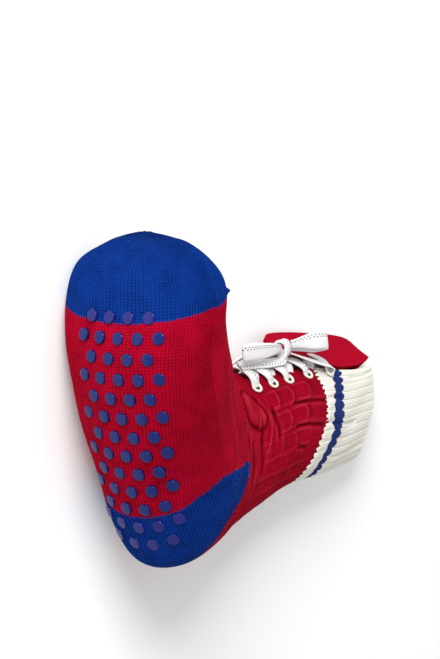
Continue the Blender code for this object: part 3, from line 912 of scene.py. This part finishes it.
def cuff_lift(t, degrees):
    """The doubled cuff: broad ribs along the leg, and an edge that turns down to the leg."""
    rib = 1 - (1 - np.abs(np.sin(pi * np.asarray(degrees) / 360 * RIBS))) ** 2.5
    edge = bands(degrees, 1)
    down = smoothstep(edge + 0.06, edge - 0.05, t)
    lift = CUFF_STEP - 0.0006 + 0.0005 * rib + 1.5 * soft_lumps(t, degrees)
    lift = lift + creased(t, from_front(degrees), CUFF_CREASES)
    return lift * down - 0.0006 * (1 - down)


def cuff(cream, blue):
    """The ribbed cuff with its scalloped stripe, its end rolled over to the inside."""
    rim = (WALL + CUFF_STEP) / 2
    t_rows = even_rows(0.0, CUFF_LAST, CUFF_SPACING)
    turn = np.linspace(pi, 0, 9)[:-1]
    t_rows = np.concatenate([np.zeros(len(turn)), t_rows])
    degrees = throat_columns(t_rows)
    t = np.broadcast_to(t_rows[:, None], degrees.shape)
    points = over_skin(t, degrees, cuff_lift(t, degrees))
    normals = outward(t, degrees)
    end = unit(skin(0.0, degrees[0]) - skin(0.15, degrees[0]))
    for i, angle in enumerate(turn):
        points[i] += end * rim * sin(angle) - normals[i] * rim * (1 - cos(angle))
    points = placed(rolled_edges(points, normals, t_rows < THROAT_END))
    mid_t, mid_u = cell_centres(t), cell_centres(degrees)
    lobe = 0.09 * (np.abs(np.sin(pi * mid_u / 360 * RIBS)) - 0.6)
    near_throat = smoothstep(46, 40, from_front(mid_u))
    inside = mid_t < bands(mid_u, 1) + 0.02 * np.sin(pi * mid_u / 360 * WALES) * (1 + 1.5 * near_throat)
    striped = (mid_t < bands(mid_u, 2) + lobe) & (mid_t > bands(mid_u, 3) - lobe) & inside
    rows = row_numbers(points, 0)
    for name, keep, material, slot in (
        ("cuff", inside & ~striped, cream, "cuff_knit"),
        ("cuff_stripe", striped, blue, "blue_knit"),
    ):
        knit_piece(name, points, degrees, rows, material, slot, keep)


def linings(cream, red):
    """The knit's inner face, cream inside the cuff and red below it."""
    for name, t_from, t_to, material, slot in (
        ("cuff_lining", 0.0, 2.05, cream, "cuff_knit"),
        ("leg_lining", 2.0, THROAT_END, red, "red_knit"),
        ("foot_lining", THROAT_END, LAST - 0.3, red, "red_knit"),
    ):
        t_rows = np.linspace(t_from, t_to, int(12 * (t_to - t_from)) + 2)
        half = throat_half(t_rows) if t_to <= THROAT_END else np.zeros(len(t_rows))
        degrees = open_ring(half, LINING_COLUMNS)
        t = np.broadcast_to(t_rows[:, None], degrees.shape)
        points = placed(over_skin(t, degrees, np.full(degrees.shape, -WALL)))
        points[..., 2] = np.maximum(points[..., 2], WALL)
        knit_piece(name, points, degrees, row_numbers(points, 0), material, slot, inward=True)


def dot_places():
    """(place, angle) of each grip dot: staggered rows of four and five over the sole."""
    along = np.linspace(LAST, 0, 241)
    sole = lengths(skin(along, 180.0))
    angles = np.arange(90, 271, 2.0)
    found = []
    for row in range(DOT_ROWS):
        t = np.interp(DOT_START + row * DOT_PITCH * sqrt(3) / 2, sole, along)
        around = lengths(skin(np.full(len(angles), t), angles))
        middle = np.interp(180, angles, around)
        count = 4 + row % 2
        for i in range(count):
            across = (i - (count - 1) / 2) * DOT_PITCH
            found.append((t, np.interp(middle + across, around, angles)))
    return found


def grip_dots(on_red, on_blue):
    """Domed printed dots that follow the sole's curve."""
    rings, around = 9, 28
    share = np.arange(rings + 1)[:, None] / rings
    radius = DOT_RADIUS * np.sqrt(1 - (1 - share) ** 2.2)
    high = np.where(share < 1, 0.0003 + DOT_HEIGHT * (1 - share**4), -0.0004)
    high = high - 0.3 * radius**2 / SOLE_RADIUS
    turn = 2 * pi * np.arange(around)[:, None] / around
    for name, wants_blue, material in (("grip_dots", False, on_red), ("grip_dots_on_blue", True, on_blue)):
        points, faces = [], []
        for t, degrees in dot_places():
            over_blue = bool(in_heel(np.array(t), np.array(degrees))) or t > TOE_START
            if over_blue != wants_blue:
                continue
            normal = outward(t, degrees)
            side = unit(np.cross(normal, (1.0, 0.0, 0.0)))
            out = np.cos(turn) * side + np.sin(turn) * np.cross(side, normal)
            faces.append(tube_faces(rings + 1, around) + len(points) * (rings + 1) * around)
            points.append(skin(t, degrees) + radius[..., None] * out + high[..., None] * normal)
        uvs = np.zeros((len(points), rings + 1, around, 2))
        uvs[..., 0] = share
        points = placed(np.reshape(points, (-1, 3)))
        mesh = mesh_from(name, points, np.concatenate(faces), uvs.reshape(-1, 2))
        new_piece(mesh, material, "grip_dots", "knit_sock")


def smooth_line(points, steps):
    """A smooth line through points, with a number of steps between each two."""
    points = np.asarray(points, float)
    ends = np.vstack([2 * points[0] - points[1], points, 2 * points[-1] - points[-2]])
    line = []
    for i in range(len(points) - 1):
        for j in range(steps):
            line.append(catmull_rom(ends[i], ends[i + 1], ends[i + 2], ends[i + 3], j / steps))
    return np.array(line + [points[-1]])


def ribbon_mesh(name, line, across, width, thickness):
    """A flat lace along a line, closed at both ends, with coordinates across and along it in millimetres."""
    count = len(line)
    along = unit(np.gradient(line, axis=0))
    across = unit(across - (across * along).sum(1, keepdims=True) * along)
    up = np.cross(across, along)
    width = np.broadcast_to(width, count)
    angle = 2 * pi * np.arange(RIBBON_SIDES) / RIBBON_SIDES
    flat = np.sign(np.cos(angle)) * np.abs(np.cos(angle)) ** 0.55
    high = np.sign(np.sin(angle)) * np.abs(np.sin(angle)) ** 0.8
    points = line[:, None] + across[:, None] * (flat[:, None] * width[:, None, None] / 2)
    points = points + up[:, None] * (high[:, None] * thickness / 2)
    length = lengths(line) * 1000
    uvs = np.stack(np.broadcast_arrays(flat[None, :], length[:, None]), -1).reshape(-1, 2)
    faces = tube_faces(count, RIBBON_SIDES)[:, [0, 3, 2, 1]]
    first = list(range(RIBBON_SIDES))
    caps = [first[::-1], [(count - 1) * RIBBON_SIDES + j for j in first]]
    return mesh_from(name, placed(points.reshape(-1, 3)), faces, uvs, caps)


def bow(white):
    """The bow's two loops and two ends: flat laces, gathered at the knot. Each stands for a solid, and has
    its route, the direction across it, its width and how full it swells."""
    knot_place = (0.0, 0.0, 0.0)
    for node, route, across, wide, full in (
        ("lace_loop_left", LEFT_LOOP, (0.1, 1.0, 0.0), LACE_WIDTH, 1.15),
        ("lace_loop_right", RIGHT_LOOP, (0.17, 0.97, -0.14), LACE_WIDTH, 1.32),
        ("lace_end_near", (knot_place, *NEAR_END), (0.0, -0.5, 0.86), END_WIDTH, 1.2),
        ("lace_end_far", (knot_place, *FAR_END), (0.3, 0.5, 0.7), END_WIDTH, 1.0),
    ):
        line = smooth_line(from_knot(route), 10)
        share = np.arange(len(line)) / (len(line) - 1)
        gather = smoothstep(0, 0.3, share)
        is_loop = node.startswith("lace_loop")
        if is_loop:
            gather = gather * smoothstep(1, 0.7, share)
        width = wide * (0.6 + (full - 0.6) * gather)
        name = node.replace("lace", "bow")
        mesh = ribbon_mesh(name, line, np.tile(across, (len(line), 1)), width, BOW_THICKNESS)
        piece = new_piece(mesh, white, "white_lace", node)
        path = [tuple(point) for point in placed(line)]


def knot(white):
    """The knot: one turn of lace wrapped round the root of the loops."""
    centre = over_skin(*KNOT_PLACE, KNOT_LIFT)
    turn = np.linspace(0, 2 * pi, 41)
    ring = np.stack([0.0010 * np.sin(2 * turn), 0.0054 * np.cos(turn), 0.0040 * np.sin(turn)], -1)
    across = np.stack([np.ones(41), 0.25 * np.sin(turn), 0.2 * np.cos(turn)], -1)
    width = 0.0056 + 0.0006 * np.cos(3 * turn)
    mesh = ribbon_mesh("bow_knot", centre + ring, across, width, KNOT_THICKNESS)
    new_piece(mesh, white, "white_lace", "lace_knot")


def lace_line(t_from, angle_from, t_to, angle_to, lifts):
    """A run of lace over the throat, through heights over the knit at even shares of its way."""
    share = np.linspace(0, 1, 41)
    t = t_from + (t_to - t_from) * share
    angle = angle_from + (angle_to - angle_from) * share
    lift = np.interp(share, [s for s, _ in lifts], [h for _, h in lifts])
    lift = np.convolve(np.pad(lift, 2, mode="edge"), np.ones(5) / 5, mode="valid")
    lift = lift + CUFF_STEP * smoothstep(2.1, 1.9, t)
    return over_skin(t, angle, lift), t, angle


def laces(white):
    """The lace over the throat: out of each eyelet, over to the other side, and under the far edge."""
    runs = []
    for below, t in zip(EYELETS, EYELETS[1:]):
        end = t + 0.75 * (below - t)
        runs.append((t, EYELET_ANGLE, end, -27, OVER))
        runs.append((t, -EYELET_ANGLE, end, 27, UNDER))
    runs.append((EYELETS[0], EYELET_ANGLE, EYELETS[0], -EYELET_ANGLE, OVER))
    for i, (t_from, u_from, t_to, u_to, lifts) in enumerate(runs):
        line, t, angle = lace_line(t_from, u_from, t_to, u_to, lifts)
        normals = outward(t, angle)
        across = np.cross(np.gradient(line, axis=0), normals)
        share = np.linspace(0, 1, len(line))
        width = LACE_WIDTH * (0.74 + 0.20 * smoothstep(0, 0.3, share))
        mesh = ribbon_mesh(f"lace_run_{i + 1}", line, across, width, RUN_THICKNESS)
        new_piece(mesh, white, "white_lace", "lace_crossings")
    for name, sign, route in (("lace_top_near", 1, NEAR_TOP), ("lace_top_far", -1, FAR_TOP)):
        t = EYELETS[-1]
        inside = over_skin(t, sign * EYELET_ANGLE, -0.0006)
        outside = over_skin(t - 0.02, sign * (EYELET_ANGLE - 4), 0.0044)
        line = smooth_line([inside, outside, *from_knot(route)], 8)
        fade = np.linspace(1, 0, len(line))[:, None]
        up = unit(outward(t, sign * EYELET_ANGLE) * fade + (0, 0.6, 0))
        across = np.cross(np.gradient(line, axis=0), up)
        mesh = ribbon_mesh(name, line, across, LACE_WIDTH * 0.85, TOP_THICKNESS)
        new_piece(mesh, white, "white_lace", "lace_crossings")


def eyelets(cream, dark):
    """A cream ring pressed round each lace hole, with a dark disc in it as painted shade for the hole."""
    around, section = 36, 12
    turn = 2 * pi * np.arange(around)[:, None] / around
    bend = 2 * pi * np.arange(section)[:, None] / section
    quads = tube_faces(around, section, closed=True)
    fan = [(0, 1 + j, 1 + (j + 1) % around) for j in range(around)]
    for side, sign in (("near", 1), ("far", -1)):
        for i, t in enumerate(EYELETS):
            degrees = sign * EYELET_ANGLE
            lift = CLEARANCE + EYELET_WIRE * 0.6 + (CUFF_STEP if t < 2 else 0)
            centre = over_skin(t, degrees, lift)
            normal = outward(t, degrees)
            front = unit(np.cross(np.cross(normal, (1.0, 0.0, 0.0)), normal))
            out = np.cos(turn) * front + np.sin(turn) * np.cross(normal, front)
            radius = EYELET_RADIUS - EYELET_WIRE * (1 - np.cos(bend))
            ring = centre + out[:, None] * radius + normal * EYELET_WIRE * 0.9 * np.sin(bend)
            # A dark disc painted as the shade inside the hole.
            middle = centre - normal * HOLE_DEPTH
            hole = np.vstack([middle, middle + EYELET_HOLE * out])
            place = f"_{side}_{i + 1}"
            for name, points, faces, material, slot, nodes in (
                ("ring", ring.reshape(-1, 3), quads, cream, "cream_rings", ("eyelet" + place,)),
                ("hole", hole, fan, dark, "red_knit", ()),
            ):
                mesh = mesh_from(name + place, placed(points), faces, np.zeros((len(points), 2)))
                new_piece(mesh, material, slot, *nodes)


def tongue(felt):
    """The felt tongue: a strip under the laces, and its top folded forward over them."""
    inside = WALL + 2 * CLEARANCE + TONGUE_THICKNESS / 2
    across = np.linspace(-1, 1, TONGUE_COLUMNS)
    rows = []
    for t, half in TONGUE_STRIP:
        rows.append(over_skin(np.full(TONGUE_COLUMNS, t), -half * across, np.full(TONGUE_COLUMNS, -inside)))
    for height, near_depth, near_side, far_depth, far_side in TONGUE_FLAP:
        near = np.array((height * LEG_HEIGHT, near_depth * ANKLE_DEPTH, near_side * LEG_WIDTH))
        far = np.array((height * LEG_HEIGHT, far_depth * ANKLE_DEPTH, far_side * LEG_WIDTH))
        share = (across[:, None] + 1) / 2
        rows.append(near * (1 - share) + far * share)
    middle = np.stack([smooth_line([row[j] for row in rows], 6) for j in range(TONGUE_COLUMNS)], 1)
    half = unit(np.cross(np.gradient(middle, axis=0), np.gradient(middle, axis=1))) * TONGUE_THICKNESS / 2
    points = placed(np.reshape([middle + half, middle - half], (-1, 3)))
    number = np.arange(middle[..., 0].size).reshape(middle.shape[:2])
    quads = grid_faces(*number.shape)
    border = np.concatenate([number[:, 0], number[-1, 1:], number[-2::-1, -1], number[0, -2:0:-1]])
    after = np.roll(border, -1)
    edge = np.stack([border, after, after + number.size, border + number.size], -1)
    faces = np.concatenate([quads, quads[:, ::-1] + number.size, edge])
    grid = np.stack(np.indices(number.shape, float), -1).reshape(-1, 2)
    mesh = mesh_from("felt_tongue", points, faces, np.tile(grid, (2, 1)))
    piece = new_piece(mesh, felt, "red_felt", "tongue")
    bevel = piece.modifiers.new("soft edge", "BEVEL")
    bevel.width = 0.0006
    bevel.segments = 2
    bevel.angle_limit = radians(50)


def make_floor():
    """A plain pale floor."""
    bpy.ops.mesh.primitive_plane_add(size=6)
    floor = bpy.context.object
    floor.name = "floor"
    floor.location.z = -FLOOR_DROP
    floor.data.materials.append(Nodes("floor_pale").finish((*PALE, 1), 0.9))


def make_lights():
    """Even studio light: a bright surround and a broad key light from over the toe."""
    world = bpy.data.worlds.new("studio")
    world.use_nodes = True
    background = world.node_tree.nodes["Background"]
    background.inputs["Color"].default_value = (1, 1, 1, 1)
    background.inputs["Strength"].default_value = SURROUND
    bpy.context.scene.world = world
    direction, distance, size, power = KEY
    data = bpy.data.lights.new("key", "AREA")
    data.size = size
    data.energy = power
    light = bpy.data.objects.new("key", data)
    bpy.context.scene.collection.objects.link(light)
    light.location = Vector(direction).normalized() * distance
    light.rotation_euler = (-light.location).to_track_quat("-Z", "Y").to_euler()
    bpy.context.scene.view_settings.view_transform = "Standard"


make_camera()
white = lace_material("white_lace", LACE, INK)
bow(white)
knot(white)
red = knit_material("red_knit", RED, RED_GAP_SHADE, RED_NAP_AND_RIDGE_LIGHT)
blue = knit_material("blue_knit", BLUE, BLUE_GAP_SHADE, BLUE_NAP_AND_RIDGE_LIGHT)
cream = rib_material("cream_knit", CREAM, CREAM_GAP_SHADE)
foot(red, blue)
leg(red)
cuff(cream, rib_material("navy_rib", NAVY, NAVY_GAP_SHADE))
linings(cream, red)
grip_dots(dot_material("dot_on_red", *DOT_ON_RED), dot_material("dot_on_blue", *DOT_ON_BLUE))
laces(white)
# The holes' dark discs are painted shade.
eyelets(plain_material("cream_ring", RING, 0.35, coat=0.3), plain_material("painted_hole_shade", HOLE_SHADE, 0.9))
tongue(felt_material("red_felt", FELT))
make_floor()
make_lights()
